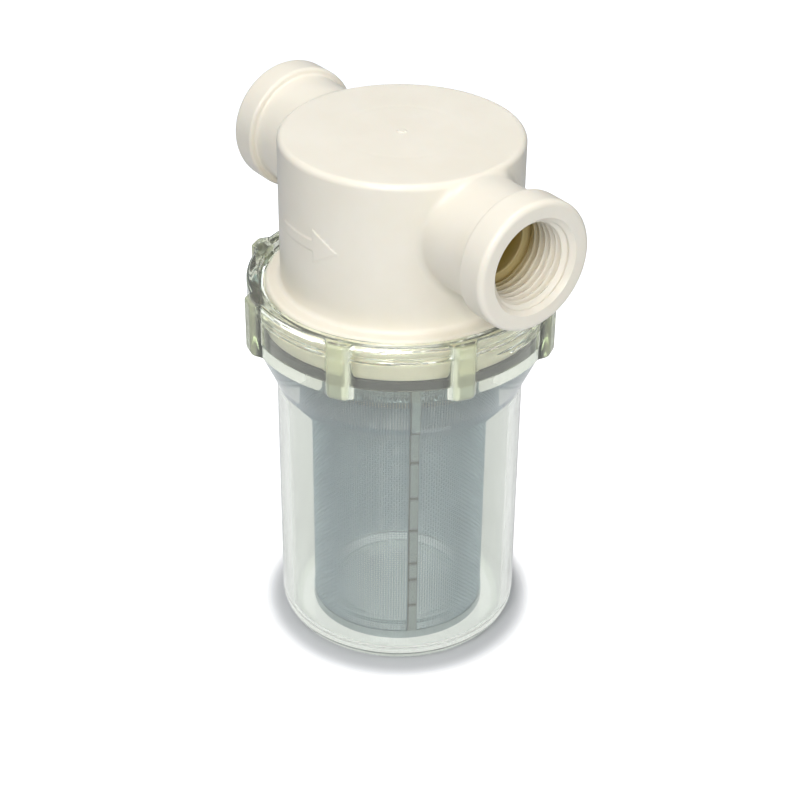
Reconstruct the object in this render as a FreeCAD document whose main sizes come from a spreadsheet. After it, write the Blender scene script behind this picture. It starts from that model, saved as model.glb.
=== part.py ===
"""Sea water strainer: a T-pattern inline strainer for 1/2 inch pipe.

A moulded head with two female threaded ports on one axis carries a clear bowl, which
screws up into place from below on a coarse right-hand thread and seals on a flat gasket.
A wire-mesh sleeve stands on the bowl's floor, centred by a raised boss, and its upper
end slides over the head's spigot tube. Water comes in at -X, goes down the spigot tube
into the sleeve, passes out through the mesh, rises round the spigot and leaves at +X.

Frame: origin at the centre of the bowl's foot, +Z up the bowl's axis, +X along the port
axis towards the outlet. Lengths are in millimetres and angles in degrees.
"""
import FreeCAD
import Part
import math
import os
import Sketcher
from FreeCAD import Placement, Rotation, Vector

os.makedirs("parts", exist_ok=True)
doc = FreeCAD.newDocument("sea_water_strainer")

# ------------------------------------------------------------------ driving dimensions
DIMENSIONS = [
    # bowl
    ("ledge_height", 84.0, "foot of the bowl to the seat of the gasket"),
    ("bowl_radius", 30.0, "outside of the bowl"),
    ("bowl_wall", 2.6, "wall of the bowl"),
    ("bowl_floor", 3.0, "thickness of the floor and of the hollow boss"),
    ("bowl_round", 5.0, "rounding of the bowl's foot"),
    ("floor_round", 2.5, "fillet inside the bowl at the floor"),
    ("boss_height", 4.0, "height of the centring boss above the floor"),
    ("boss_round", 1.0, "rounding of the boss"),
    ("ledge_thick", 2.0, "thickness of the ring under the gasket's seat"),
    ("cone_height", 13.3, "height of the flare outside the neck"),
    ("inner_cone_height", 13.0, "height of the flare inside the neck"),
    ("cone_step", 0.5, "step from the flare out to the ring"),
    ("ring_wall", 2.9, "wall of the threaded ring"),
    ("rim_margin", 0.45, "last ridge in the bowl to the top of the ring"),
    ("rim_round", 0.7, "rounding of the ring's top edge"),
    # grip lugs
    ("lug_height", 2.0, "how far a lug stands out from the ring"),
    ("lug_width", 6.2, "width of a lug"),
    ("lug_root", 1.0, "depth of a lug's foot inside the ring"),
    ("lug_round", 1.6, "rounding of a lug's edges"),
    ("lug_count", 8, "number of lugs"),
    ("lug_phase", 31.0, "angle of the first lug from +X"),
    # gasket
    ("gasket_thick", 2.0, "thickness of the gasket"),
    ("gasket_width", 2.8, "width of the gasket"),
    ("gasket_gap", 0.5, "clearance round the gasket in the bowl"),
    ("seat_margin", 0.7, "width of the seat inside the gasket"),
    # coarse thread between head and bowl
    ("thread_pitch", 3.0, "pitch of the coarse thread"),
    ("thread_depth", 1.0, "height of a ridge"),
    ("thread_crest", 0.7, "width of a ridge at its crest"),
    ("thread_root", 1.5, "width of a ridge at its root"),
    ("thread_gap", 0.4, "clearance between a crest and the opposite root"),
    ("thread_start", 1.5, "skirt foot to the middle of the head's first ridge"),
    ("head_turns", 2.2, "turns of ridge on the head"),
    ("bowl_turns", 2.0, "turns of ridge in the bowl"),
    # head
    ("barrel_radius", 28.5, "outside of the head's barrel"),
    ("barrel_wall", 3.0, "wall of the barrel, and thickness of its lid"),
    ("top_round", 1.5, "rounding of the barrel's top edge"),
    ("skirt_step", 3.7, "barrel to the root of the thread on the skirt"),
    ("shoulder_margin", 0.65, "last ridge on the head to the top of the skirt"),
    ("shoulder_round", 1.1, "rounding of the skirt's top edge"),
    ("barrel_fillet", 1.2, "fillet where the barrel meets the skirt"),
    ("port_rise", 22.5, "top of the skirt to the port axis"),
    ("lid_rise", 14.0, "port axis to the top of the lid"),
    ("spigot_wall", 2.0, "wall of the spigot tube"),
    ("spigot_drop", 10.0, "skirt foot to the lower end of the spigot tube"),
    ("duct_wall", 4.0, "wall of the duct from the inlet to the spigot tube"),
    # ports
    ("port_reach", 48.0, "axis of the bowl to the face of each port"),
    ("pipe_thread_radius", 10.5, "wall of the tapped bore, 1/2 inch pipe thread"),
    ("pipe_thread_length", 14.0, "face of the port to the end of the tapped bore"),
    ("mouth_flare", 0.9, "countersink of the tapped bore"),
    ("mouth_depth", 1.1, "depth of that countersink"),
    ("bore_step", 2.5, "tapped bore down to the waterway behind it"),
    ("port_wall", 3.1, "wall of the port round the tapped bore"),
    ("port_ring_step", 1.7, "port up to the ring at its end"),
    ("port_ring_length", 7.5, "length of that ring"),
    ("port_round", 1.4, "rounding of the edge of a port's face"),
    ("port_step_round", 0.8, "rounding of the ring's inner edge"),
    # screen
    ("mesh_radius", 21.6, "outside of the mesh sleeve"),
    ("mesh_thick", 0.5, "thickness of the mesh"),
    ("screen_lap", 8.0, "length of the spigot tube inside the sleeve"),
    ("screen_gap", 0.3, "clearance between the sleeve and the spigot tube"),
    ("boss_gap", 1.6, "clearance between the sleeve and the boss"),
    ("band_thick", 0.3, "thickness of an end band"),
    ("band_height", 2.2, "height of an end band"),
    ("seam_width", 2.4, "width of the seam strip"),
    ("seam_thick", 0.4, "thickness of the seam strip"),
    ("seam_phase", -27.5, "angle of the seam strip from +X"),
]

sheet = doc.addObject("Spreadsheet::Sheet", "Sizes")
for row, (alias, number, meaning) in enumerate(DIMENSIONS, start=1):
    sheet.set("A%d" % row, meaning)
    sheet.set("B%d" % row, str(number))
    sheet.setAlias("B%d" % row, alias)
doc.recompute()


class Size:
    """A size with both its value and its formula in terms of the sheet's cells."""

    def __init__(self, value, formula):
        self.value = float(value)
        self.formula = formula

    def __add__(self, other):
        other = as_size(other)
        return Size(self.value + other.value, "(%s + %s)" % (self.formula, other.formula))

    def __sub__(self, other):
        other = as_size(other)
        return Size(self.value - other.value, "(%s - %s)" % (self.formula, other.formula))

    def __mul__(self, other):
        other = as_size(other)
        return Size(self.value * other.value, "(%s * %s)" % (self.formula, other.formula))

    def __truediv__(self, other):
        other = as_size(other)
        return Size(self.value / other.value, "(%s / %s)" % (self.formula, other.formula))

    def at_most(self, other):
        """This size, or the other where that is smaller: a rounding within its wall."""
        formula = "min(%s; %s)" % (self.formula, other.formula)
        return Size(min(self.value, other.value), formula)


def as_size(number):
    """Let a plain number stand in a formula."""
    return number if isinstance(number, Size) else Size(number, str(number))


def cell(alias):
    """The size held in one cell of the sheet."""
    return Size(sheet.get(alias), "Sizes.%s" % alias)


NONE = as_size(0)


# ------------------------------------------------------------------------- helpers
def new_body(label):
    """Start the body of one piece."""
    body = doc.addObject("PartDesign::Body", label + "_body")
    body.Label = label
    return body


def profile(body, name, corners, lift=NONE, turn=NONE):
    """Draw a closed outline on the body's XZ plane, every corner placed by the sheet.

    The sketch's first axis points along +X turned by `turn` about Z, and its second
    axis points up from the height `lift`.
    """
    sketch = body.newObject("Sketcher::SketchObject", name)
    planes = [p for p in body.Origin.OriginFeatures if p.Role == "XZ_Plane"]
    sketch.AttachmentSupport = [(planes[0], "")]
    sketch.MapMode = "FlatFace"
    spin = Rotation(Vector(0, 1, 0), turn.value)
    sketch.AttachmentOffset = Placement(Vector(0, lift.value, 0), spin)
    sketch.setExpression("AttachmentOffset.Base.y", lift.formula)
    sketch.setExpression("AttachmentOffset.Rotation.Angle", turn.formula)
    count = len(corners)
    for i in range(count):
        here = corners[i]
        there = corners[(i + 1) % count]
        start = Vector(here[0].value, here[1].value, 0)
        end = Vector(there[0].value, there[1].value, 0)
        sketch.addGeometry(Part.LineSegment(start, end), False)
    for i in range(count):
        sketch.addConstraint(Sketcher.Constraint("Coincident", i, 2, (i + 1) % count, 1))
    for i, corner in enumerate(corners):
        for kind, axis, length in (("DistanceX", -2, corner[0]), ("DistanceY", -1, corner[1])):
            if length is NONE:
                sketch.addConstraint(Sketcher.Constraint("PointOnObject", i, 1, axis))
            else:
                at = Sketcher.Constraint(kind, -1, 1, i, 1, length.value)
                index = sketch.addConstraint(at)
                sketch.setExpression("Constraints[%d]" % index, length.formula)
    doc.recompute()
    return sketch


def turned(body, kind, name, sketch, axis="V_Axis", angle=as_size(360)):
    """Revolve an outline about one of its sketch's axes, to add or to cut."""
    feature = body.newObject("PartDesign::" + kind, name)
    feature.Profile = sketch
    feature.ReferenceAxis = (sketch, [axis])
    feature.Midplane = angle.value < 360
    feature.Angle = angle.value
    feature.setExpression("Angle", angle.formula)
    sketch.Visibility = False
    doc.recompute()
    return feature


def block(low_x, high_x, low_z, high_z):
    """The four corners of a rectangle."""
    return [(low_x, low_z), (high_x, low_z), (high_x, high_z), (low_x, high_z)]


def is_circle_about_z(radius, height):
    """Test for an edge that is a circle about the bowl's axis."""
    def test(edge):
        curve = edge.Curve
        if not isinstance(curve, Part.Circle):
            return False
        on_axis = math.hypot(curve.Center.x, curve.Center.y) < 1e-4
        same_height = abs(curve.Center.z - height.value) < 1e-4
        return on_axis and same_height and abs(curve.Radius - radius.value) < 1e-4
    return test


def is_circle_about_port(radius, reach):
    """Test for an edge that is a circle about the port axis, on either side."""
    def test(edge):
        curve = edge.Curve
        if not isinstance(curve, Part.Circle):
            return False
        off_axis = math.hypot(curve.Center.y, curve.Center.z - port_axis.value)
        same_reach = abs(abs(curve.Center.x) - reach.value) < 1e-4
        return off_axis < 1e-4 and same_reach and abs(curve.Radius - radius.value) < 1e-4
    return test


def is_lug_edge(edge):
    """Test for an edge of a lug's outer face."""
    face = lug_face.value
    middle = edge.CenterOfMass
    straight = isinstance(edge.Curve, (Part.Line, Part.LineSegment))
    corner = edge.Vertexes[0].Point
    far = math.hypot(corner.x, corner.y) >= face - 1e-4
    return straight and far and math.hypot(middle.x, middle.y) >= face - 1e-4


def rounded(body, name, radius, test):
    """Fillet the edges of the body's last feature that pass the test."""
    base = body.Tip
    edges = base.Shape.Edges
    names = ["Edge%d" % (i + 1) for i, edge in enumerate(edges) if test(edge)]
    if not names:
        raise ValueError("no edge found for " + name)
    feature = body.newObject("PartDesign::Fillet", name)
    feature.Base = (base, names)
    feature.Radius = radius.value
    feature.setExpression("Radius", radius.formula)
    doc.recompute()
    return feature


def threaded(body, name, ridge, turns):
    """Sweep a ridge's outline up a right-hand helix about the bowl's axis."""
    feature = body.newObject("PartDesign::AdditiveHelix", name)
    feature.Profile = ridge
    feature.ReferenceAxis = (ridge, ["V_Axis"])
    feature.Mode = "pitch-turns-angle"
    feature.Pitch = cell("thread_pitch").value
    feature.Turns = turns.value
    feature.setExpression("Pitch", "Sizes.thread_pitch")
    feature.setExpression("Turns", turns.formula)
    feature.LeftHanded = False
    feature.Reversed = False
    ridge.Visibility = False
    doc.recompute()
    return feature


# ------------------------------------------------------------- sizes that follow others
# Heights, from the foot upwards.
floor = cell("bowl_floor")
boss_top = floor + cell("boss_height")
hollow_top = boss_top - cell("bowl_floor")
seat = cell("ledge_height")
ring_foot = seat - cell("ledge_thick")
cone_foot = ring_foot - cell("cone_height")
inner_cone_foot = seat - cell("inner_cone_height")
skirt_foot = seat + cell("gasket_thick")
spigot_foot = skirt_foot - cell("spigot_drop")
screen_top = spigot_foot + cell("screen_lap")
half_root = cell("thread_root") / 2
half_crest = cell("thread_crest") / 2
first_ridge = skirt_foot + cell("thread_start")
first_bowl_ridge = first_ridge + cell("thread_pitch") / 2
last_ridge = first_ridge + cell("thread_pitch") * cell("head_turns")
last_bowl_ridge = first_bowl_ridge + cell("thread_pitch") * cell("bowl_turns")
shoulder = last_ridge + half_root + cell("shoulder_margin")
rim = last_bowl_ridge + half_root + cell("rim_margin")
port_axis = shoulder + cell("port_rise")
top = port_axis + cell("lid_rise")
lid = top - cell("barrel_wall")

# Radii about the bowl's axis.
barrel = cell("barrel_radius")
chamber = barrel - cell("barrel_wall")
skirt = barrel + cell("skirt_step")
bowl_bore = skirt + cell("thread_depth") + cell("thread_gap")
bowl_crest = bowl_bore - cell("thread_depth")
ring = bowl_bore + cell("ring_wall")
cone = ring - cell("cone_step")
lug_face = ring + cell("lug_height")
gasket_outside = bowl_bore - cell("gasket_gap")
gasket_inside = gasket_outside - cell("gasket_width")
seat_edge = gasket_inside - cell("seat_margin")
mesh_outside = cell("mesh_radius")
mesh_inside = mesh_outside - cell("mesh_thick")
spigot = mesh_inside - cell("screen_gap")
spigot_inside = spigot - cell("spigot_wall")
bowl_outside = cell("bowl_radius")
bowl_inside = bowl_outside - cell("bowl_wall")
boss = mesh_inside - cell("boss_gap")
hollow = boss - cell("bowl_floor")
embed = as_size(0.4)

# Lengths and radii along the port axis.
reach = cell("port_reach")
ring_back = reach - cell("port_ring_length")
thread_end = reach - cell("pipe_thread_length")
mouth_end = reach - cell("mouth_depth")
pipe_thread = cell("pipe_thread_radius")
port_neck = pipe_thread + cell("port_wall")
port_ring = port_neck + cell("port_ring_step")
waterway = pipe_thread - cell("bore_step")
duct = waterway + cell("duct_wall")

# ------------------------------------------------------------------------------ head
head = new_body("head")
outside = profile(head, "head_outline", [
    (NONE, spigot_foot),
    (spigot, spigot_foot),
    (spigot, skirt_foot),
    (skirt, skirt_foot),
    (skirt, shoulder),
    (barrel, shoulder),
    (barrel, top),
    (NONE, top),
])
turned(head, "Revolution", "head_solid", outside)
rounded(head, "top_edge", cell("top_round"), is_circle_about_z(barrel, top))
shoulder_half = cell("skirt_step") * 0.48
shoulder_edge = cell("shoulder_round").at_most(shoulder_half)
barrel_foot = cell("barrel_fillet").at_most(shoulder_half)
rounded(head, "shoulder_edge", shoulder_edge, is_circle_about_z(skirt, shoulder))
rounded(head, "barrel_foot", barrel_foot, is_circle_about_z(barrel, shoulder))

port_outline = [
    (NONE, NONE),
    (reach, NONE),
    (reach, port_ring),
    (ring_back, port_ring),
    (ring_back, port_neck),
    (NONE, port_neck),
]
for side, turn in (("outlet", NONE), ("inlet", as_size(180))):
    port = profile(head, side + "_outline", port_outline, port_axis, turn)
    turned(head, "Revolution", side + "_port", port, "H_Axis")
face_edge = is_circle_about_port(port_ring, reach)
step_edge = is_circle_about_port(port_ring, ring_back)
rounded(head, "port_faces", cell("port_round"), face_edge)
port_step = cell("port_step_round").at_most(cell("port_ring_step") * 0.8)
rounded(head, "port_steps", port_step, step_edge)

# The chamber round the spigot tube, and the tube's own bore.
below = spigot_foot - 1
ring_space = profile(head, "chamber_outline", block(spigot, chamber, below, lid))
turned(head, "Groove", "outlet_chamber", ring_space)
tube_space = profile(head, "spigot_outline", block(NONE, spigot_inside, below, lid))
turned(head, "Groove", "spigot_bore", tube_space)

# The duct that carries the inlet across the chamber into the spigot tube.
duct_start = spigot_inside + cell("spigot_wall") / 2
duct_end = chamber + cell("barrel_wall") / 2
duct_block = block(duct_start, duct_end, NONE, duct)
duct_outline = profile(head, "duct_outline", duct_block, port_axis, as_size(180))
turned(head, "Revolution", "inlet_duct", duct_outline, "H_Axis")

# The tapped bores with their countersunk mouths, and the waterways behind them. The
# inlet opens into the spigot tube and the outlet only into the chamber.
inlet_start = spigot_inside / 2
outlet_start = (spigot + chamber) / 2
for side, turn, start in (("outlet", NONE, outlet_start), ("inlet", as_size(180), inlet_start)):
    bore = profile(head, side + "_bore_outline", [
        (start, NONE),
        (reach, NONE),
        (reach, pipe_thread + cell("mouth_flare")),
        (mouth_end, pipe_thread),
        (thread_end, pipe_thread),
        (thread_end, waterway),
        (start, waterway),
    ], port_axis, turn)
    turned(head, "Groove", side + "_bore", bore, "H_Axis")

head_ridge = profile(head, "head_ridge_outline", [
    (skirt - embed, first_ridge - half_root),
    (skirt + cell("thread_depth"), first_ridge - half_crest),
    (skirt + cell("thread_depth"), first_ridge + half_crest),
    (skirt - embed, first_ridge + half_root),
])
threaded(head, "head_thread", head_ridge, cell("head_turns"))

# ------------------------------------------------------------------------------ bowl
bowl = new_body("bowl")
shell = profile(bowl, "bowl_outline", [
    (NONE, hollow_top),
    (hollow, hollow_top),
    (hollow, NONE),
    (bowl_outside, NONE),
    (bowl_outside, cone_foot),
    (cone, ring_foot),
    (ring, ring_foot),
    (ring, rim),
    (bowl_bore, rim),
    (bowl_bore, seat),
    (seat_edge, seat),
    (bowl_inside, inner_cone_foot),
    (bowl_inside, floor),
    (boss, floor),
    (boss, boss_top),
    (NONE, boss_top),
])
turned(bowl, "Revolution", "bowl_solid", shell)
rounded(bowl, "foot_edge", cell("bowl_round"), is_circle_about_z(bowl_outside, NONE))
rounded(bowl, "floor_edge", cell("floor_round"), is_circle_about_z(bowl_inside, floor))
rounded(bowl, "boss_edge", cell("boss_round"), is_circle_about_z(boss, boss_top))
rim_edge = cell("rim_round").at_most(cell("ring_wall") * 0.48)
rounded(bowl, "rim_edge", rim_edge, is_circle_about_z(ring, rim))

lug_foot = ring - cell("lug_root")
lug_top = rim - rim_edge
lug_block = block(lug_foot, lug_face, ring_foot, lug_top)
lug_outline = profile(bowl, "lug_outline", lug_block, NONE, cell("lug_phase"))
lug = bowl.newObject("PartDesign::Pad", "lug")
lug.Profile = lug_outline
lug.SideType = "Symmetric"
lug.Length = cell("lug_width").value
lug.setExpression("Length", "Sizes.lug_width")
lug_outline.Visibility = False
doc.recompute()
lugs = bowl.newObject("PartDesign::PolarPattern", "lugs")
lugs.Originals = [lug]
lugs.Axis = ([p for p in bowl.Origin.OriginFeatures if p.Role == "Z_Axis"][0], [""])
lugs.Angle = 360
lugs.Occurrences = int(cell("lug_count").value)
lugs.setExpression("Occurrences", "Sizes.lug_count")
bowl.Tip = lugs
doc.recompute()
lug_edge = cell("lug_round").at_most(cell("lug_height") * 0.8).at_most(cell("lug_width") * 0.45)
rounded(bowl, "lug_edges", lug_edge, is_lug_edge)

bowl_ridge = profile(bowl, "bowl_ridge_outline", [
    (bowl_bore + embed, first_bowl_ridge - half_root),
    (bowl_bore + embed, first_bowl_ridge + half_root),
    (bowl_crest, first_bowl_ridge + half_crest),
    (bowl_crest, first_bowl_ridge - half_crest),
])
threaded(bowl, "bowl_thread", bowl_ridge, cell("bowl_turns"))

# ---------------------------------------------------------------------------- gasket
gasket = new_body("gasket")
gasket_block = block(gasket_inside, gasket_outside, seat, skirt_foot)
turned(gasket, "Revolution", "gasket_ring", profile(gasket, "gasket_outline", gasket_block))

# ---------------------------------------------------------------------------- screen
sleeve = new_body("screen_mesh")
sleeve_block = block(mesh_inside, mesh_outside, floor, screen_top)
turned(sleeve, "Revolution", "sleeve", profile(sleeve, "sleeve_outline", sleeve_block))

band_outside = mesh_outside + cell("band_thick")
low_band_top = floor + cell("band_height")
high_band_foot = screen_top - cell("band_height")
bands = (("screen_band_lower", floor, low_band_top), ("screen_band_upper", high_band_foot, screen_top))
for label, foot, head_end in bands:
    band = new_body(label)
    band_outline = profile(band, label + "_outline", block(mesh_outside, band_outside, foot, head_end))
    turned(band, "Revolution", label + "_ring", band_outline)

seam = new_body("screen_seam")
seam_outside = mesh_outside + cell("seam_thick")
seam_block = block(mesh_outside, seam_outside, low_band_top, high_band_foot)
seam_outline = profile(seam, "seam_outline", seam_block, NONE, cell("seam_phase"))
seam_angle = cell("seam_width") / mesh_outside * (180 / math.pi)
turned(seam, "Revolution", "seam_strip", seam_outline, "V_Axis", seam_angle)

# ---------------------------------------------------------------------------- output
doc.recompute()
failed = [o.Name for o in doc.Objects if "Invalid" in o.State or "Error" in o.State]
if failed:
    raise RuntimeError("these objects failed: " + ", ".join(failed))
pieces = [o for o in doc.Objects if o.isDerivedFrom("PartDesign::Body")]
for piece in pieces:
    if piece.Shape.isNull() or not piece.Shape.isValid() or len(piece.Shape.Solids) != 1:
        raise RuntimeError("bad solid: " + piece.Label)
for piece in pieces:
    piece.Shape.exportStep("parts/%s.step" % piece.Label)
    box = piece.Shape.BoundBox
    print("%-18s %9.1f mm3  z %6.2f to %6.2f" % (piece.Label, piece.Shape.Volume, box.ZMin, box.ZMax))
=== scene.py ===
# %% [markdown]
# # A sea water strainer
#
# The object is a small in-line strainer from a boat's raw water line. A cream moulded
# head with two tapped ports sits over a clear bowl, and a woven wire sleeve stands in
# the bowl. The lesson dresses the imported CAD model: every surface that catches the eye
# is worked out again as an array of points, and every finish is a small node tree.

# %% Load the frame
import math
import bmesh
import bpy
import numpy as np
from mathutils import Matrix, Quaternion, Vector


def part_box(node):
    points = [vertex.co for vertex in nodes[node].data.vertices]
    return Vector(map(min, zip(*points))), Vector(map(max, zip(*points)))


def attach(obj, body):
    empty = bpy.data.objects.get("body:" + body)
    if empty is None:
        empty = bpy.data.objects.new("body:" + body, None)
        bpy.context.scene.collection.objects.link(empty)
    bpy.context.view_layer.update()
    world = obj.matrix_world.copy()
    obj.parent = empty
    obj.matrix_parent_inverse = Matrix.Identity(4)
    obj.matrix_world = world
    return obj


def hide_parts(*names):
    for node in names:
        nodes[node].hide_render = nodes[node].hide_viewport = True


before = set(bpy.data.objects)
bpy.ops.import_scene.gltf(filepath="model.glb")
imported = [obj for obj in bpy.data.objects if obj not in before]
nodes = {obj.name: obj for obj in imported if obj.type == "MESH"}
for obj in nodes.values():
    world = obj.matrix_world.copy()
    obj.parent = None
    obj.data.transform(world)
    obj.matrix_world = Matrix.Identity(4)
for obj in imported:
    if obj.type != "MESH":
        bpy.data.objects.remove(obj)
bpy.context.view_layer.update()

MM = 0.001
TINY = 1e-6

# %% [markdown]
# ## From points to a mesh
#
# Each surface below is a grid: rows run along a profile, and columns run round an axis.
# numpy works out all the points of a grid at once, so a shape is a formula and not a
# pile of vertices. A first or last row of zero width is a pole, which becomes one point
# with a fan of triangles, so that the surface closes.

# %% Turn grids of points into closed meshes


def grid_faces(rows, columns, first=0, wrap=True):
    """Quads between neighbouring rows and columns of a grid whose points start at `first`.

    Point (row, column) has the number first + row * columns + column. With wrap the last
    column joins the first.
    """
    across = columns if wrap else columns - 1
    row, column = np.meshgrid(np.arange(rows - 1), np.arange(across), indexing="ij")
    after = (column + 1) % columns
    corners = (row * columns + column, row * columns + after,
               (row + 1) * columns + after, (row + 1) * columns + column)
    return first + np.stack(corners, axis=-1).reshape(-1, 4)


def fan_faces(ring, pole, upward):
    """Triangles from a closed ring of point numbers to one pole point."""
    after = np.roll(ring, -1)
    pair = (ring, after) if upward else (after, ring)
    return np.stack((*pair, np.full(len(ring), pole)), axis=-1)


def make_mesh(name, points, *face_sets):
    """A mesh object in metres from an (n, 3) array in millimetres and arrays of faces."""
    faces = [face for some in face_sets for face in some.tolist()]
    mesh = bpy.data.meshes.new(name)
    mesh.from_pydata((points * MM).tolist(), [], faces)
    mesh.validate()
    piece = bpy.data.objects.new(name, mesh)
    bpy.context.scene.collection.objects.link(piece)
    return piece


def closed_turning(name, profile, turns):
    """A closed surface from a profile that starts and ends on the axis of turning.

    `profile` is (rows, columns, 2) with a radius and a height for each point, and
    `turns` is the angle of each column. A point is (radius cos, radius sin, height).
    """
    radius, height = profile[1:-1, :, 0], profile[1:-1, :, 1]
    body = np.stack((radius * np.cos(turns), radius * np.sin(turns), height), axis=-1)
    rows, columns = radius.shape
    poles = np.array([[0, 0, profile[0, 0, 1]], [0, 0, profile[-1, 0, 1]]])
    points = np.concatenate((body.reshape(-1, 3), poles))
    last_ring = (rows - 1) * columns + np.arange(columns)
    low = fan_faces(np.arange(columns), rows * columns, upward=False)
    high = fan_faces(last_ring, rows * columns + 1, upward=True)
    return make_mesh(name, points, grid_faces(rows, columns), low, high)


def soften(piece, angle=32.0):
    """Shade smooth, but keep an edge sharp where its faces meet at more than `angle`."""
    mesh = piece.data
    work = bmesh.new()
    work.from_mesh(mesh)
    limit = math.radians(angle)
    for edge in work.edges:
        edge.smooth = edge.calc_face_angle(0.0) < limit
    for face in work.faces:
        face.smooth = True
    work.to_mesh(mesh)
    work.free()
    return piece


# %% [markdown]
# A moulded part has no sharp corners, because plastic won't fill them and a mould can't
# keep them. So a profile is written as a few corners, each with its own rounding, and
# the points of every arc are worked out from the two lines that meet there.

# %% Draw a profile with rounded corners


def rounded_profile(corners, arc_steps=7, longest=4.0, edge=0.25):
    """Points along straight lines whose corners are replaced by arcs.

    A corner is (radius, height, rounding), with a fourth value where the line to the
    next corner needs a certain longest step, or an exact count of steps as a whole
    number. The arc touches both lines at rounding / tan(half the corner's angle) from
    it. A point `edge` past each arc keeps the shading of the flat flat.
    """
    places = np.array([corner[:2] for corner in corners], dtype=float)
    arcs = []
    for i, corner in enumerate(corners):
        here, size = places[i], corner[2]
        if size <= 0:
            arcs.append(here[None])
            continue
        back, ahead = places[i - 1] - here, places[i + 1] - here
        back, ahead = back / np.linalg.norm(back), ahead / np.linalg.norm(ahead)
        half = 0.5 * math.acos(np.clip(back @ ahead, -1, 1))
        middle = here + (back + ahead) / np.linalg.norm(back + ahead) * size / math.sin(half)
        start, end = here + back * size / math.tan(half), here + ahead * size / math.tan(half)
        share = np.linspace(0, 1, arc_steps + 1)[:, None]
        sweep = math.pi - 2 * half
        from_start = np.sin((1 - share) * sweep) * (start - middle)
        from_end = np.sin(share * sweep) * (end - middle)
        arcs.append(middle + (from_start + from_end) / math.sin(sweep))
    line = [arcs[0]]
    for corner, arc, after in zip(corners, arcs, arcs[1:]):
        start, run = arc[-1], after[0] - arc[-1]
        length = np.linalg.norm(run)
        step = corner[3] if len(corner) > 3 else longest
        count = step if isinstance(step, int) else max(1, math.ceil(length / step))
        inner = np.arange(1, count) / count
        if length > 4 * edge and not isinstance(step, int):
            inner = np.unique(np.concatenate(([edge / length, 1 - edge / length], inner)))
        line += [start + inner[:, None] * run, after]
    return np.concatenate(line)


def turned(profile, columns):
    """The same profile on every column, as closed_turning wants it."""
    return np.repeat(profile[:, None, :], columns, axis=1)


def ridge(distance, crest, root):
    """Height from 0 to 1 of a thread's ridge at a distance from its middle.

    It is 1 within half the crest's width, 0 outside half the root's width, and eases
    from one to the other.
    """
    share = np.clip((root / 2 - np.abs(distance)) / (root / 2 - crest / 2), 0, 1)
    return share * share * (3 - 2 * share)


def helix_ridges(height, angle, first, pitch, turns, crest, root, fade=0.06):
    """Ridge height on a right-hand screw thread, for a grid of heights and angles.

    On each column the ridge's middle lies at first + pitch * (angle / full turn + n).
    It fades in and out over the first and last few degrees of its turns.
    """
    total = np.zeros(np.broadcast(height, angle).shape)
    for n in range(-1, math.ceil(turns) + 1):
        run = angle / (2 * math.pi) + n
        inside = np.clip(run / fade, 0, 1) * np.clip((turns - run) / fade, 0, 1)
        total = np.maximum(total, inside * ridge(height - first - pitch * run, crest, root))
    return total


# %% Sizes of the real object, in millimetres
# Radii, heights above the foot, thicknesses and thread sizes.
BARREL, TOP, LID_EDGE, WALL = 28.5, 132.0, 1.5, 3.0
SKIRT, SHOULDER, SKIRT_FOOT = 32.2, 95.5, 86.0
SPIGOT, SPIGOT_BORE, SPIGOT_FOOT = 20.8, 18.8, 76.0
LID_RING_OUT, LID_RING_IN, LID_RING_SLOPE, LID_RING_DEPTH = 15.0, 13.0, 0.6, 0.03
GATE_FOOT, GATE_TOP, GATE_MARK = 1.2, 0.8, 0.2
PORT_AXIS, REACH, NECK, RING, RING_LENGTH, BLEND = 118.0, 48.0, 13.6, 15.3, 7.5, 2.4
PIPE_PITCH, PIPE_ROOT, PIPE_CREST, PIPE_FLAT, PIPE_END = 1.814, 10.5, 9.4, 0.12, 34.0
MOUTH, MOUTH_DEPTH, WATERWAY, DUCT, DUCT_START = 11.4, 1.1, 8.0, 12.0, 16.0
COARSE_PITCH, COARSE_DEPTH, COARSE_CREST, COARSE_ROOT = 3.0, 1.0, 0.7, 1.5
head_low, head_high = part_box("head")
print("head, mm:", [round(c / MM, 1) for c in (*head_low, *head_high)])

# %% [markdown]
# ## The head
#
# The real head is one injection moulding. Its ports flow out of the barrel through a
# soft blend, which a plain union of two tubes doesn't have. A ball of the blend's
# radius rolled along the corner gives that shape exactly: its centre keeps one distance
# from the port's tube and one distance from the barrel, and the surface is the arc
# between the two points where the ball touches. The barrel's grid has a window round
# each port, and the port's grid fills it, so the whole outside is one closed skin.

# %% The outside of the head
COLUMNS = 240
WINDOW = 28  # columns on each side of a port's middle
WINDOW_FOOT, WINDOW_LID, LID_RIM = 100.0, 23.5, 22.5
SKIRT_THREAD_START, SKIRT_THREAD_TURNS = 1.5, 2.2
turn_step = 2 * math.pi / COLUMNS
outline = [
    (0, SPIGOT_FOOT, 0), (SPIGOT, SPIGOT_FOOT, 0.5), (SPIGOT, SKIRT_FOOT, 0.4),
    (SKIRT, SKIRT_FOOT, 0.3, 0.2), (SKIRT, SHOULDER, 1.1), (BARREL, SHOULDER, 1.2, 0.8),
    (BARREL, TOP, LID_EDGE, 0.6), (LID_RIM, TOP, 0), (LID_RING_OUT, TOP, 0),
    (LID_RING_OUT - LID_RING_SLOPE, TOP - LID_RING_DEPTH, 0),
    (LID_RING_IN + LID_RING_SLOPE, TOP - LID_RING_DEPTH, 0), (LID_RING_IN, TOP, 0),
    (GATE_FOOT, TOP, 0), (GATE_TOP, TOP + GATE_MARK, 0.12), (0, TOP + GATE_MARK, 0),
]
profile = rounded_profile(outline, arc_steps=7)
turns = np.arange(COLUMNS) * turn_step
grid = turned(profile, COLUMNS)
on_skirt = (np.abs(profile[:, 0] - SKIRT) < TINY)[:, None]
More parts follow.
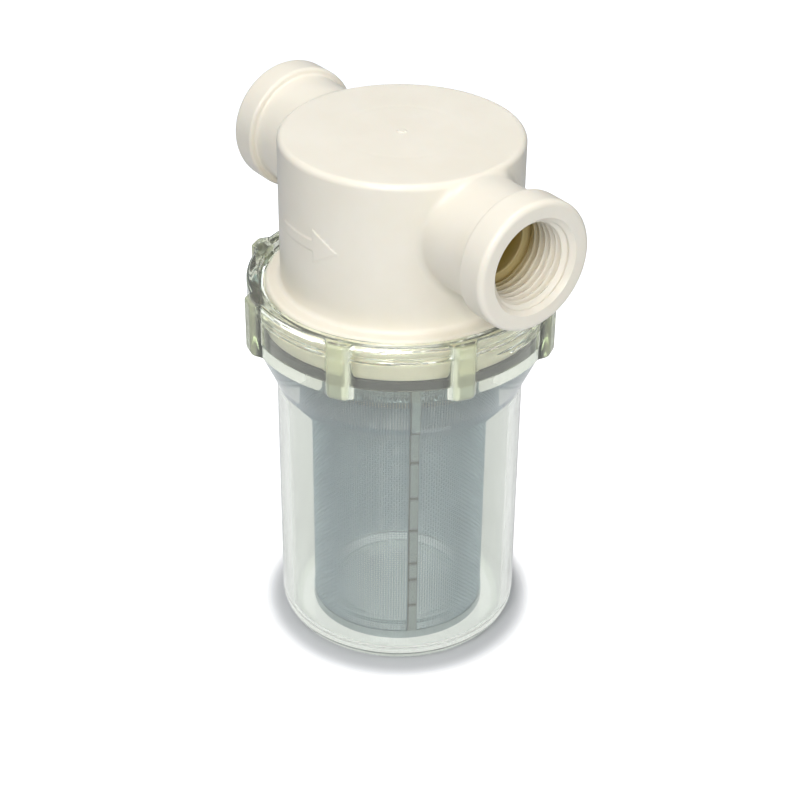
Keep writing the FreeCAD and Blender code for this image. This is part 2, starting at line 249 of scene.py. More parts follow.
thread = helix_ridges(grid[:, :, 1], turns, SKIRT_FOOT + SKIRT_THREAD_START, COARSE_PITCH,
                      SKIRT_THREAD_TURNS, COARSE_CREST, COARSE_ROOT)
grid[:, :, 0] += COARSE_DEPTH * thread * on_skirt

along = np.concatenate(([0], np.cumsum(np.linalg.norm(np.diff(profile, axis=0), axis=1))))
on_barrel_top = (profile[:, 1] > TOP - LID_EDGE - TINY) & (profile[:, 0] > BARREL - TINY)
s_side = along[np.flatnonzero(on_barrel_top)[-1]]
arc_length = LID_EDGE * math.pi / 2


def barrel_point(angle, s):
    """Point on the barrel at an angle, `s` mm up the outline from the lid's rounding.

    Below zero it is on the side, then on the quarter circle of the rounding, and past
    that on the flat lid.
    """
    bend = np.clip(s / LID_EDGE, 0, math.pi / 2)
    over = np.maximum(s - arc_length, 0)
    radius = BARREL - LID_EDGE + LID_EDGE * np.cos(bend) - over
    height = TOP - LID_EDGE + LID_EDGE * np.sin(bend) + np.minimum(s, 0)
    return np.stack((radius * np.cos(angle), radius * np.sin(angle), height), axis=-1)


HALVINGS = 50  # enough to find the ball's centre to the last digit


def rolled_ball(side):
    """Where a ball of radius BLEND touches the neck and the barrel, for directions `side`.

    `side` is the angle round the port's axis. The ball's centre lies NECK + BLEND from
    that axis, and its distance along it is halved in on until the centre is BLEND from
    the barrel. Distance to the barrel is the distance to its rounded outline.
    """
    across = (NECK + BLEND) * np.cos(side)
    up = (NECK + BLEND) * np.sin(side) + PORT_AXIS
    inner, outer = np.zeros_like(side), np.full_like(side, REACH)

    def gap(x):
        q = np.stack((np.hypot(x, across) - BARREL + LID_EDGE, up - TOP + LID_EDGE), axis=-1)
        outside = np.linalg.norm(np.maximum(q, 0), axis=-1)
        return outside + np.minimum(q.max(axis=-1), 0) - LID_EDGE, q

    for _ in range(HALVINGS):
        middle = (inner + outer) / 2
        far = gap(middle)[0] > BLEND
        outer = np.where(far, middle, outer)
        inner = np.where(far, inner, middle)
    x = (inner + outer) / 2
    centre = np.stack((x, across, up), axis=-1)
    neck = np.stack((x, NECK * np.cos(side), NECK * np.sin(side) + PORT_AXIS), axis=-1)
    q = gap(x)[1]
    bend = np.arctan2(np.maximum(q[:, 1], 0), np.maximum(q[:, 0], 1e-9))
    s = np.where(q[:, 1] < 0, q[:, 1], LID_EDGE * bend)
    angle = np.arctan2(across, x)
    return centre, neck, barrel_point(angle, s), angle, s


def nearest_row(values, wanted, allowed):
    """The allowed row whose value lies nearest to the wanted one."""
    return int(np.argmin(np.where(allowed, np.abs(values - wanted), np.inf)))


first_row = nearest_row(profile[:, 1], WINDOW_FOOT, profile[:, 0] > BARREL - TINY)
last_row = nearest_row(profile[:, 0], WINDOW_LID, profile[:, 1] > TOP - TINY)
rows = np.arange(first_row, last_row + 1)
span = np.arange(-WINDOW, WINDOW + 1)
loop_row = np.concatenate((np.full(len(span) - 1, first_row), rows[:-1],
                           np.full(len(span) - 1, last_row), rows[:0:-1]))
loop_column = np.concatenate((span[:-1], np.full(len(rows) - 1, WINDOW), span[:0:-1],
                              np.full(len(rows) - 1, -WINDOW)))
edge_angle = loop_column * turn_step
edge_s = along[loop_row] - s_side
port_s = PORT_AXIS - (TOP - LID_EDGE)
side = np.arctan2(edge_s - port_s, BARREL * edge_angle)
centre, on_neck, on_barrel, touch_angle, touch_s = rolled_ball(side)
print("window points:", len(side), " ball centres, mm:", centre[:, 0].min(), centre[:, 0].max())

PATCH_ROWS, ARC_ROWS, NECK_ROWS = 25, 8, 6
share = np.linspace(1, 0, PATCH_ROWS + 1)[1:, None]
patch = barrel_point(touch_angle + share * (edge_angle - touch_angle),
                     touch_s + share * (edge_s - touch_s))
start, end = (on_barrel - centre) / BLEND, (on_neck - centre) / BLEND
sweep = np.arccos(np.clip((start * end).sum(axis=-1), -1, 1))[:, None]
steps = np.linspace(0, 1, ARC_ROWS + 1)[1:, None, None]
arc = centre + BLEND * (np.sin((1 - steps) * sweep) * start
                        + np.sin(steps * sweep) * end) / np.sin(sweep)
ring_back, neck_end = REACH - RING_LENGTH, REACH - RING_LENGTH - 1.5
port_outline = rounded_profile([
    (neck_end, NECK, 0), (ring_back, NECK, 0.6), (ring_back, RING, 0.8),
    (REACH, RING, 1.4), (REACH, 0, 0),
], arc_steps=6)
runs = np.linspace(0, 1, NECK_ROWS + 1)[1:-1, None]
neck_x = on_neck[:, 0] + runs * (neck_end - on_neck[:, 0])


def round_port(x, radius):
    """Points round the port's axis at the window's directions."""
    x, radius = np.broadcast_arrays(x, radius * np.ones(len(side)))
    return np.stack((x, radius * np.cos(side), PORT_AXIS + radius * np.sin(side)), axis=-1)


neck = round_port(neck_x, NECK)
collar = round_port(port_outline[:-1, :1], port_outline[:-1, 1:])
port = np.concatenate((patch, arc, neck, collar))
far_port = port * np.array([-1, -1, 1])

radius, height = grid[1:-1, :, 0], grid[1:-1, :, 1]
body = np.stack((radius * np.cos(turns), radius * np.sin(turns), height), axis=-1)
body_rows = len(body)
quads = grid_faces(body_rows, COLUMNS)
quad_row, quad_column = quads[:, 0] // COLUMNS, quads[:, 0] % COLUMNS
turned_column = (quad_column + COLUMNS // 2) % COLUMNS - COLUMNS // 2
in_rows = (quad_row >= first_row - 1) & (quad_row < last_row - 1)
near = (turned_column >= -WINDOW) & (turned_column < WINDOW)
far_column = quad_column - COLUMNS // 2
far = (far_column >= -WINDOW) & (far_column < WINDOW)
kept = quads[~(in_rows & (near | far))]

points = [body.reshape(-1, 3), np.array([[0, 0, SPIGOT_FOOT], [0, 0, profile[-1, 1]]])]
low_pole = body_rows * COLUMNS
faces = [kept, fan_faces(np.arange(COLUMNS), low_pole, upward=False),
         fan_faces((body_rows - 1) * COLUMNS + np.arange(COLUMNS), low_pole + 1, upward=True)]
total = low_pole + 2
for half_turn, end, surface in ((0, REACH, port), (COLUMNS // 2, -REACH, far_port)):
    loop = (loop_row - 1) * COLUMNS + (loop_column + half_turn) % COLUMNS
    count = len(loop)
    first_ring = total + np.arange(count)
    after = np.roll(np.arange(count), -1)
    faces.append(np.stack((loop, loop[after], first_ring[after], first_ring), axis=-1))
    faces.append(grid_faces(len(surface), count, first=total))
    points.append(surface.reshape(-1, 3))
    total += len(surface) * count
    points.append(np.array([[end, 0, PORT_AXIS]]))
    faces.append(fan_faces(total - count + np.arange(count), total, upward=True))
    total += 1
head = make_mesh("head_moulding", np.concatenate(points), *faces)
print("outside of the head:", len(head.data.polygons), "faces")

# %% [markdown]
# The inside is cut out of that skin with booleans, as a mould's cores would leave it: a
# ring-shaped chamber, the spigot's bore, the duct that crosses the chamber, and the two
# tapped ports. The pipe thread is a function of distance and angle, cut as one core.

# %% The cores that hollow the head
CORE_COLUMNS, BORE_COLUMNS = 160, 128
OVER = 1.0  # a core runs at least this far past the skin that it cuts
MOUTH_PLAIN, MOUTH_FADE, END_PLAIN, END_FADE = 0.9, 1.4, 0.2, 1.0  # along a tapped bore


def turned_core(name, corners, columns=CORE_COLUMNS, thread=None):
    """A closed core from rounded corners, optionally with a screw thread cut into it."""
    line = rounded_profile(corners, arc_steps=5)
    angles = np.arange(columns) * 2 * math.pi / columns
    core = turned(line, columns)
    if thread is not None:
        core[:, :, 0] = thread(core, angles)
    return closed_turning(name, core, angles)


def pipe_thread(core, angles):
    """Radius of a tapped bore: a V between PIPE_CREST and PIPE_ROOT with narrow flats.

    The V's height follows the distance to the nearest groove, which moves one pitch
    along the bore for each full turn. It fades out at the mouth and at the bore's end.
    """
    radius, depth = core[:, :, 0], core[:, :, 1]
    phase = np.mod((depth / PIPE_PITCH) + angles / (2 * math.pi), 1.0)
    wave = np.clip((np.abs(2 * phase - 1) - PIPE_FLAT) / (1 - 2 * PIPE_FLAT), 0, 1)
    at_mouth = np.clip((REACH - MOUTH_PLAIN - depth) / MOUTH_FADE, 0, 1)
    at_end = np.clip((depth - PIPE_END - END_PLAIN) / END_FADE, 0, 1)
    cut = (PIPE_ROOT - PIPE_CREST) * wave * at_mouth * at_end
    return np.where(np.abs(radius - PIPE_ROOT) < TINY, radius - cut, radius)


def lay_along_port(piece, outlet=True):
    """Turn a core made upright so that its own height runs along the port's axis."""
    coordinates = np.empty(len(piece.data.vertices) * 3)
    piece.data.vertices.foreach_get("co", coordinates)
    x, y, z = coordinates.reshape(-1, 3).T
    sign = 1 if outlet else -1
    moved = np.stack((sign * z, sign * x, y + PORT_AXIS * MM), axis=-1)
    piece.data.vertices.foreach_set("co", moved.ravel())
    piece.data.update()
    return piece


def combine(piece, other, operation):
    """Join another closed mesh to a piece or cut it away, and delete the other."""
    step = piece.modifiers.new("step", "BOOLEAN")
    step.operation, step.object, step.solver = operation, other, "MANIFOLD"
    depsgraph = bpy.context.evaluated_depsgraph_get()
    result = bpy.data.meshes.new_from_object(piece.evaluated_get(depsgraph))
    piece.modifiers.clear()
    piece.data = result
    bpy.data.objects.remove(other)
    print(operation.lower(), "leaves", len(result.polygons), "faces")


def plain_core(name, radius, low, high, rounding=0.0):
    """A closed cylinder between two heights, its upper edge rounded if asked."""
    return turned_core(name, [(0, low, 0), (radius, low, 0), (radius, high, rounding),
                              (0, high, 0)])


LID, CHAMBER, LID_ROUND = TOP - WALL, BARREL - WALL, 1.0
chamber = plain_core("chamber_core", CHAMBER, SPIGOT_FOOT - 2 * OVER, LID, LID_ROUND)
inside = plain_core("spigot_solid", SPIGOT, SPIGOT_FOOT - 3 * OVER, LID + OVER)
combine(chamber, inside, "DIFFERENCE")
duct = lay_along_port(plain_core("duct_solid", DUCT, DUCT_START, CHAMBER + OVER), outlet=False)
combine(chamber, duct, "DIFFERENCE")
combine(head, chamber, "DIFFERENCE")
spigot_core = plain_core("spigot_core", SPIGOT_BORE, SPIGOT_FOOT - 2 * OVER, LID, LID_ROUND)
combine(head, spigot_core, "DIFFERENCE")
for outlet, start in ((True, (SPIGOT + CHAMBER) / 2), (False, SPIGOT_BORE / 2)):
    core = turned_core("port_core", [
        (0, start, 0), (WATERWAY, start, 0), (WATERWAY, PIPE_END, 0.3),
        (PIPE_ROOT, PIPE_END, 0, 0.17), (PIPE_ROOT, REACH - MOUTH_DEPTH, 0), (MOUTH, REACH, 0),
        (MOUTH, REACH + OVER, 0), (0, REACH + OVER, 0),
    ], columns=BORE_COLUMNS, thread=pipe_thread)
    combine(head, lay_along_port(core, outlet), "DIFFERENCE")

# %% [markdown]
# A strainer works one way round, so its side carries a moulded arrow. The arrow is a patch
# of the barrel's skin that rises where the distance inside the arrow's outline is above
# zero, and lies sunk under the skin elsewhere. The union keeps only what stands proud.

# %% The flow arrow
ARROW_AT, ARROW_HEIGHT, ARROW_PROUD = math.radians(-86), 113.5, 0.16
ARROW_LONG, ARROW_TALL, ARROW_DEEP, ARROW_SUNK, ARROW_EASE = 11.0, 5.5, 1.2, 0.4, 0.7
TAIL, SHAFT_END, BARB, TIP, SHAFT_HALF, BARB_SLOPE = -9.5, 3.5, 2.5, 10.0, 1.5, 0.6
across, upward = np.meshgrid(np.linspace(-ARROW_LONG, ARROW_LONG, 99),
                             np.linspace(-ARROW_TALL, ARROW_TALL, 50))
shaft = np.minimum(SHAFT_HALF - np.abs(upward), np.minimum(across - TAIL, SHAFT_END - across))
to_slope = (BARB_SLOPE * (TIP - across) - np.abs(upward)) / math.hypot(1, BARB_SLOPE)
barb = np.minimum(across - BARB, to_slope)
ease = np.clip(np.maximum(shaft, barb) / ARROW_EASE + 0.5, 0, 1)
proud = (ARROW_PROUD + ARROW_SUNK) * ease * ease * (3 - 2 * ease) - ARROW_SUNK
skin = np.stack((BARREL + proud, np.full_like(proud, BARREL - ARROW_DEEP)))
arrow_angle = ARROW_AT + across / BARREL
arrow_points = np.stack((skin * np.cos(arrow_angle), skin * np.sin(arrow_angle),
                         ARROW_HEIGHT + upward + 0 * skin), axis=-1).reshape(-1, 3)
index = np.arange(across.size).reshape(across.shape)
rim = np.concatenate((index[0, :-1], index[:-1, -1], index[-1, :0:-1], index[:0:-1, 0]))
rim_after = np.roll(rim, -1)
walls = np.stack((rim_after, rim, rim + across.size, rim_after + across.size), axis=-1)
top_quads = grid_faces(*across.shape, wrap=False)
arrow = make_mesh("flow_arrow", arrow_points, top_quads, top_quads[:, ::-1] + across.size, walls)
combine(head, arrow, "UNION")
soften(head, 48)
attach(head, "head")
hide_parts("head")

# %% [markdown]
# ## The bowl
#
# The bowl is one clear moulding: a foot, a thin wall, a flared neck and a stout threaded
# ring with eight grip lugs. It is one closed surface of turning whose outline changes
# with the angle: on a lug the ring's outside moves out by the lug's height. Clear
# plastic shows every flaw in its shading, so a grid made in one go beats booleans.

# %% The bowl's surface
BOWL, BOWL_WALL, FLOOR, BOSS, BOSS_TOP = 30.0, 2.6, 3.0, 19.5, 7.0
HOLLOW, HOLLOW_TOP, SHOULDER_LOW, SHOULDER_OUT, SHOULDER_INSIDE = 16.5, 4.0, 68.7, 36.0, 71.0
RING_OUT, RING_BORE, RING_LOW, RIM, LEDGE, LEDGE_IN = 36.5, 33.6, 82.0, 96.2, 84.0, 29.6
LUG_OUT, LUG_WIDTH, LUG_FLARE, LUG_SIDE, LUG_PAST = 38.5, 6.2, 0.8, 2.5, 0.3
LUG_COUNT, LUG_PHASE = 8, math.radians(31)
BOWL_THREAD_START, BOWL_THREAD_TURNS = 3.0, 2.0

lug_share = 2 * math.pi / LUG_COUNT
half_lug = (LUG_WIDTH / 2 + LUG_FLARE) / RING_OUT
side_run = np.linspace(-LUG_PAST, LUG_SIDE + LUG_PAST, 15)
up_side = -half_lug + side_run / RING_OUT
plain = np.linspace(up_side[-1], -up_side[-1], 5)[1:-1]
between = np.linspace(-up_side[0], lug_share + up_side[0], 16)[1:-1]
one_lug = np.concatenate((up_side, plain, -up_side[::-1], between))
bowl_turns = (one_lug[None, :] + np.arange(LUG_COUNT)[:, None] * lug_share).ravel() + LUG_PHASE
climb = np.clip((half_lug - np.abs(np.tile(one_lug, LUG_COUNT))) * RING_OUT / LUG_SIDE, 0, 1)
lug_rise = (LUG_OUT - RING_OUT) * climb * climb * (3 - 2 * climb)


def bowl_outline(rise):
    """The bowl's outline where the ring's outside stands `rise` mm proud, foot to boss."""
    out, inside = RING_OUT + rise, BOWL - BOWL_WALL
    return rounded_profile([
        (0, HOLLOW_TOP, 0), (HOLLOW, HOLLOW_TOP, 0.8), (HOLLOW, 0, 0.8), (BOWL, 0, 5.0),
        (BOWL, SHOULDER_LOW, 3.0), (SHOULDER_OUT, RING_LOW, 0.1, 2),
        (out, RING_LOW - 0.3 * rise, 0.25 + 0.65 * rise, 9), (out, RIM, 0.7, 4),
        (RING_BORE, RIM, 0.4, 0.25), (RING_BORE, LEDGE, 0.2), (LEDGE_IN, LEDGE, 0.4),
        (inside, SHOULDER_INSIDE, 3.0), (inside, FLOOR, 2.5),
        (BOSS, FLOOR, 0.4), (BOSS, BOSS_TOP, 1.0), (0, BOSS_TOP, 0)], arc_steps=6, longest=3.0)


low_line, high_line = bowl_outline(0.0), bowl_outline(LUG_OUT - RING_OUT)
rise = (lug_rise / (LUG_OUT - RING_OUT))[None, :, None]
bowl_grid = low_line[:, None] * (1 - rise) + high_line[:, None] * rise
print("bowl grid:", bowl_grid.shape)
bore = (np.abs(bowl_grid[:, :, 0] - RING_BORE) < TINY) & (bowl_grid[:, :, 1] > LEDGE + 0.2)
inner_thread = helix_ridges(bowl_grid[:, :, 1], np.mod(bowl_turns, 2 * math.pi),
                            SKIRT_FOOT + BOWL_THREAD_START, COARSE_PITCH, BOWL_THREAD_TURNS,
                            COARSE_CREST, COARSE_ROOT)
bowl_grid[:, :, 0] -= COARSE_DEPTH * inner_thread * bore
bowl = soften(closed_turning("bowl_moulding", bowl_grid, bowl_turns), 40)
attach(bowl, "bowl")
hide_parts("bowl")
print("bowl:", len(bowl.data.polygons), "faces")

# %% [markdown]
# ## The screen
#
# The sleeve is plain woven stainless wire: each wire goes over one and under the next.
# A wire is a small tube whose middle line swings in and out by half its thickness.
# Thousands of crossings leave only three sides for each tube, which is plenty at a
# third of a millimetre.

# %% Weave the sleeve
SLEEVE, SLEEVE_LOW, SLEEVE_HIGH = 21.33, 3.0, 84.0
WIRE, WIRES_ROUND = 0.33, 210
weave_pitch = 2 * math.pi * SLEEVE / WIRES_ROUND
WIRES_UP = int((SLEEVE_HIGH - SLEEVE_LOW - WIRE) / weave_pitch) + 1


def tubes(middle, across, sides=3, closed=False):
    """Tubes along many middle lines at once.

    `middle` is (wires, stations, 3). `across` gives two directions square to each wire,
    and the tube's points are middle + radius * (cos * one direction + sin * the other).
    """
    wires, stations, _ = middle.shape
    spin = (np.arange(sides) / sides * 2 * math.pi)[:, None]
    ring = np.cos(spin) * across[0][:, :, None] + np.sin(spin) * across[1][:, :, None]
    points = middle[:, :, None] + WIRE / 2 * ring
    one = grid_faces(stations, sides)
    if closed:
        first = np.arange(sides)
        last = (stations - 1) * sides + first
        joint = np.stack((last, np.roll(last, -1), np.roll(first, -1), first), axis=-1)
        one = np.concatenate((one, joint))
    faces = one + (np.arange(wires) * stations * sides)[:, None, None]
    return points.reshape(-1, 3), faces.reshape(-1, 4)


around = np.arange(WIRES_ROUND) * 2 * math.pi / WIRES_ROUND
levels_up = SLEEVE_LOW + WIRE / 2 + np.arange(WIRES_UP) * weave_pitch
odd = (np.arange(WIRES_ROUND)[:, None] + np.arange(WIRES_UP)[None, :]) % 2
swing = WIRE * 0.5 * (2 * odd - 1)


def on_sleeve(radius, angle, height):
    """Points at a radius, an angle and a height about the bowl's axis."""
    radius, angle, height = np.broadcast_arrays(radius, angle, height)
    return np.stack((radius * np.cos(angle), radius * np.sin(angle), height), axis=-1)


outward = on_sleeve(1.0, around[:, None], np.zeros((1, WIRES_UP)))
sideways = on_sleeve(1.0, around[:, None] + math.pi / 2, np.zeros((1, WIRES_UP)))
upright = np.zeros_like(outward) + np.array([0, 0, 1.0])
warp_middle = on_sleeve(SLEEVE + swing, around[:, None], levels_up[None, :])
weft_middle = on_sleeve(SLEEVE - swing, around[:, None], levels_up[None, :]).transpose(1, 0, 2)
weft_across = outward.transpose(1, 0, 2), upright.transpose(1, 0, 2)
sleeve = []
for name, tube in (("sleeve_warp", tubes(warp_middle, (outward, sideways))),
                   ("sleeve_weft", tubes(weft_middle, weft_across, closed=True))):
    piece = make_mesh(name, *tube)
    for face in piece.data.polygons:
        face.use_smooth = True
    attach(piece, "screen")
    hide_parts("screen_mesh")
    sleeve.append(piece)
    print(name, len(piece.data.polygons) * 2, "triangles")
print("weave pitch", round(weave_pitch, 3), "mm")

# %% The seam strip and its spot welds
SEAM_AT, SEAM_WIDE, SEAM_LOW, SEAM_HIGH = math.radians(-27.5), 2.4, 5.2, 81.8
SEAM_OUT, SEAM_IN, SEAM_ROWS, SEAM_COLUMNS = 22.0, 21.62, 384, 25
WELD_DEEP, WELD_WIDE, LIP_AT, LIP_DEEP, LIP_WIDE, EDGE_DROP = 0.12, 0.45, -0.40, 0.06, 0.05, 0.25
welds = np.array([13.5, 21.5, 26.5, 36.5, 46.0, 56.5, 68.0])


def hump(distance, width):
    """A smooth bell of height 1 whose value falls to 1/e at `width` from its middle."""
    return np.exp(-(distance / width) ** 2)


seam_up = np.linspace(SEAM_LOW, SEAM_HIGH, SEAM_ROWS)[:, None]
seam_across = np.linspace(-0.5, 0.5, SEAM_COLUMNS)[None, :]
lip = hump(seam_across - LIP_AT, LIP_WIDE)
pressed = hump(seam_up[..., None] - welds, WELD_WIDE).max(axis=-1) * (np.abs(seam_across) < 0.42)
edge = np.abs(seam_across) > 0.49
seam_out = SEAM_OUT - WELD_DEEP * pressed - LIP_DEEP * lip - EDGE_DROP * edge
seam_in = np.full_like(seam_out, SEAM_IN)
seam_angle = SEAM_AT + seam_across * SEAM_WIDE / SEAM_OUT + 0 * seam_up
section_radius = np.concatenate((seam_out, seam_in[:, ::-1]), axis=1)
section_angle = np.concatenate((seam_angle, seam_angle[:, ::-1]), axis=1)
section = on_sleeve(section_radius, section_angle, seam_up + 0 * section_radius)
around_section = section.shape[1]
caps = np.stack((section[0].mean(axis=0), section[-1].mean(axis=0)))
seam_body = section.reshape(-1, 3)
low_ring = np.arange(around_section)
high_ring = len(seam_body) - around_section + low_ring
seam = make_mesh("seam_strip", np.concatenate((seam_body, caps)),
                 grid_faces(len(section), around_section),
                 fan_faces(low_ring, len(seam_body), upward=False),
                 fan_faces(high_ring, len(seam_body) + 1, upward=True))
other_edge = hump(seam_across - 0.46, LIP_WIDE)
# Painted shade: dark lines along both lips of the strip go into this colour layer, with the real
# dark marks of the spot welds.
shade = np.zeros(section.shape[:2])
shade[:, :SEAM_COLUMNS] = np.clip(0.9 * pressed + 0.9 * lip + 0.5 * other_edge, 0, 1)
marks = seam.data.attributes.new("weld_marks_and_lip_shade", "FLOAT", "POINT")
marks.data.foreach_set("value", np.concatenate((shade.ravel(), [0, 0])))
soften(seam, 60)
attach(seam, "screen")
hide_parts("screen_seam")
print("seam strip:", len(seam.data.polygons), "faces")

# %% [markdown]
# ## Finishes
#
# One helper writes a colour as a designer would, in sRGB hex, and one adds a node with
# its settings and links.

# %% Colours and nodes


def colour(code):
    """Linear RGBA from an sRGB hex code such as E8DFCE."""
    parts = np.array([int(code[i:i + 2], 16) for i in (0, 2, 4)]) / 255
    linear = np.where(parts <= 0.04045, parts / 12.92, ((parts + 0.055) / 1.055) ** 2.4)
    return (*linear.tolist(), 1.0)


def grey(value):
    """Linear RGBA of one plain value, for a ramp that drives a number."""
    return (value, value, value, 1.0)


def feed(tree, socket, value):
    """Link another node's output to a socket, or store a plain value in it."""
    if isinstance(value, bpy.types.NodeSocket):
        tree.links.new(value, socket)
    else:
        socket.default_value = value


def add(tree, kind, settings=None, **inputs):
    """Add a node, set its attributes, then fill or link its sockets by name."""
    node = tree.nodes.new("ShaderNode" + kind)
    for key, value in (settings or {}).items():
        setattr(node, key, value)
    for key, value in inputs.items():
        wanted = key.replace("_", " ").lower()
        feed(tree, next(s for s in node.inputs if s.name.lower() == wanted and s.enabled), value)
    return node


def maths(tree, operation, *values, clamp=False):
    """One step of arithmetic on sockets or numbers."""
    node = add(tree, "Math", {"operation": operation, "use_clamp": clamp})
    for socket, value in zip(node.inputs, values):
        feed(tree, socket, value)
    return node.outputs[0]


def weighed(tree, switch, weight, more):
    """switch times weight plus more, each a socket or a number."""
    return maths(tree, "MULTIPLY_ADD", switch, weight, more)


def distance(tree, place, centre=(0, 0, 0), along=(1, 1, 1)):
    """Length of the way from a centre, counted only along the axes marked 1."""
    way = add(tree, "VectorMath", {"operation": "SUBTRACT"}, Vector=place)
    way.inputs[1].default_value = centre
    kept = add(tree, "VectorMath", {"operation": "MULTIPLY"}, Vector=way.outputs["Vector"])
    kept.inputs[1].default_value = along
    length = add(tree, "VectorMath", {"operation": "LENGTH"}, Vector=kept.outputs["Vector"])
    return length.outputs["Value"]


def eased(tree, value, start, end, low=0.0, high=1.0):
    """`low` up to `start`, `high` from `end` on, and a smooth step between them."""
    node = add(tree, "MapRange", {"interpolation_type": "SMOOTHSTEP"}, Value=value, From_Min=start,
               From_Max=end, To_Min=low, To_Max=high)
    return node.outputs["Result"]


def ramp(tree, factor, first, last, *between):
    """A colour ramp from its (position, colour) stops."""
    node = add(tree, "ValToRGB", Fac=factor)
    elements = node.color_ramp.elements
    for element, (position, tone) in zip(elements, (first, last)):
        element.position, element.color = position, tone
    for position, tone in between:
        elements.new(position).color = tone
    return node.outputs["Color"]


def mixed(tree, factor, first, second):
    """The first colour where `factor` is 0 and the second where it is 1."""
    node = add(tree, "Mix", {"data_type": "RGBA"})
    for socket, value in zip((node.inputs["Factor"], node.inputs[6], node.inputs[7]),
                             (factor, first, second)):
        feed(tree, socket, value)
    return node.outputs[2]


def finish_named(name):
    """An empty material with its tree, its output and its Object coordinates."""
    material = bpy.data.materials.new(name)
    material.use_nodes = True
    tree = material.node_tree
    tree.nodes.clear()
    output = tree.nodes.new("ShaderNodeOutputMaterial")
    place = tree.nodes.new("ShaderNodeTexCoord").outputs["Object"]
    return material, tree, output, place


def dress(piece, material):
    """Give a piece one material."""
    piece.data.materials.clear()
    piece.data.materials.append(material)


# %% [markdown]
# The cream plastic clouds a little from the melt's flow, and has the fine grain of a
# sparked mould. Deep in the ports the cream is painted a darker yellow ochre, as painted
# shade where little light reaches into the bores.

# %% Cream moulded plastic
cream, tree, output, place = finish_named("cream_moulded_plastic")
cloud = add(tree, "TexNoise", Vector=place, Scale=70.0, Detail=3.0, Roughness=0.55).outputs["Fac"]
tone = ramp(tree, cloud, (0.3, colour("F0E9D9")), (0.7, colour("F4EEE0")))
from_axis = distance(tree, place, (0, 0, PORT_AXIS * MM), along=(0, 1, 1))
in_bore = eased(tree, from_axis, 0.0116, 0.0107)
outwards = maths(tree, "ABSOLUTE", add(tree, "SeparateXYZ", Vector=place).outputs["X"])
# Painted shade: the bore's colour turns to the darker ochre D0B965 towards its deep end.
painted_bore_shade = maths(tree, "MULTIPLY", in_bore, eased(tree, outwards, 0.042, 0.030))
grain = add(tree, "TexNoise", Vector=place, Scale=2600.0, Detail=2.0, Roughness=0.6)
gloss = add(tree, "MapRange", Value=cloud, To_Min=0.30, To_Max=0.38)
bump = add(tree, "Bump", Height=grain.outputs["Fac"], Strength=0.05, Distance=0.0001)
shader = add(tree, "BsdfPrincipled", Base_Color=mixed(tree, painted_bore_shade, tone, colour("D0B965")),
             Roughness=gloss.outputs["Result"], IOR=1.53, Normal=bump.outputs["Normal"],
             Subsurface_Weight=0.12, Subsurface_Radius=(1.0, 0.7, 0.45), Subsurface_Scale=0.0012)
tree.links.new(shader.outputs["BSDF"], output.inputs["Surface"])
dress(head, cream)

# %% [markdown]
# Clear plastic looks white where it is thin and yellow-green where light has a long way
# to go. `mass` runs from 0 in the thin wall through 0.5 in the threaded ring to 1 in the
# lugs, and both the tint and the share of light let through follow it.

# %% Clear plastic with a faint yellow-green body colour
clear, tree, output, place = finish_named("clear_styrene_plastic")
smear = add(tree, "TexNoise", Vector=place, Scale=40.0, Detail=2.0)
height = add(tree, "SeparateXYZ", Vector=place).outputs["Z"]
in_ring = eased(tree, height, 0.0805, 0.0835)
in_lug = eased(tree, distance(tree, place, along=(1, 1, 0)), 0.0367, 0.0380, high=0.5)
mass = weighed(tree, in_ring, 0.5, in_lug)
tint = ramp(tree, mass, (0, colour("F8FAF6")), (1, colour("E6EAC9")), (0.5, colour("FAFAF0")))
clearness = ramp(tree, mass, (0, grey(0.95)), (1, grey(0.55)), (0.5, grey(0.93)))
haze = maths(tree, "MULTIPLY", smear.outputs["Fac"], 0.06)
shader = add(tree, "BsdfPrincipled", Base_Color=tint, Roughness=haze, IOR=1.57,
             Transmission_Weight=clearness)
body_colour = add(tree, "VolumeAbsorption", Color=colour("DDE8BE"), Density=18.0)
tree.links.new(shader.outputs["BSDF"], output.inputs["Surface"])
tree.links.new(body_colour.outputs["Volume"], output.inputs["Volume"])
dress(bowl, clear)

# %% Nitrile rubber
rubber, tree, output, place = finish_named("black_nitrile_rubber")
dust = add(tree, "TexNoise", Vector=place, Scale=900.0, Detail=3.0).outputs["Fac"]
tone = ramp(tree, dust, (0, colour("15181B")), (1, colour("23272A")))
bump = add(tree, "Bump", Height=dust, Strength=0.2, Distance=0.0001)
shader = add(tree, "BsdfPrincipled", Base_Color=tone, Roughness=0.55, IOR=1.52,
             Normal=bump.outputs["Normal"])
tree.links.new(shader.outputs["BSDF"], output.inputs["Surface"])
dress(nodes["gasket"], rubber)

# %% Stainless wire and stainless strip


def stainless(name, dark, light, roughness, grain_scale, mask=None, weld_mark_and_shade_tone=None):
    """Stainless steel whose tone and roughness wander a little, as drawn metal's do.

    `mask` takes the tree and the Object coordinates and gives a socket that is 1 where the
    second, darker tone covers the steel: real weld marks on the seam strip, painted shade
    at the sleeve's top.
    """
    material, tree, output, place = finish_named(name)
    wander = add(tree, "TexNoise", Vector=place, Scale=grain_scale, Detail=3.0).outputs["Fac"]
    tone = ramp(tree, wander, (0, colour(dark)), (1, colour(light)))
    if mask is not None:
        tone = mixed(tree, mask(tree, place), tone, colour(weld_mark_and_shade_tone))
    rough = add(tree, "MapRange", Value=wander, To_Min=roughness - 0.06, To_Max=roughness + 0.06)
    shader = add(tree, "BsdfPrincipled", Base_Color=tone, Metallic=1.0,
                 Roughness=rough.outputs["Result"])
    tree.links.new(shader.outputs["BSDF"], output.inputs["Surface"])
    return material


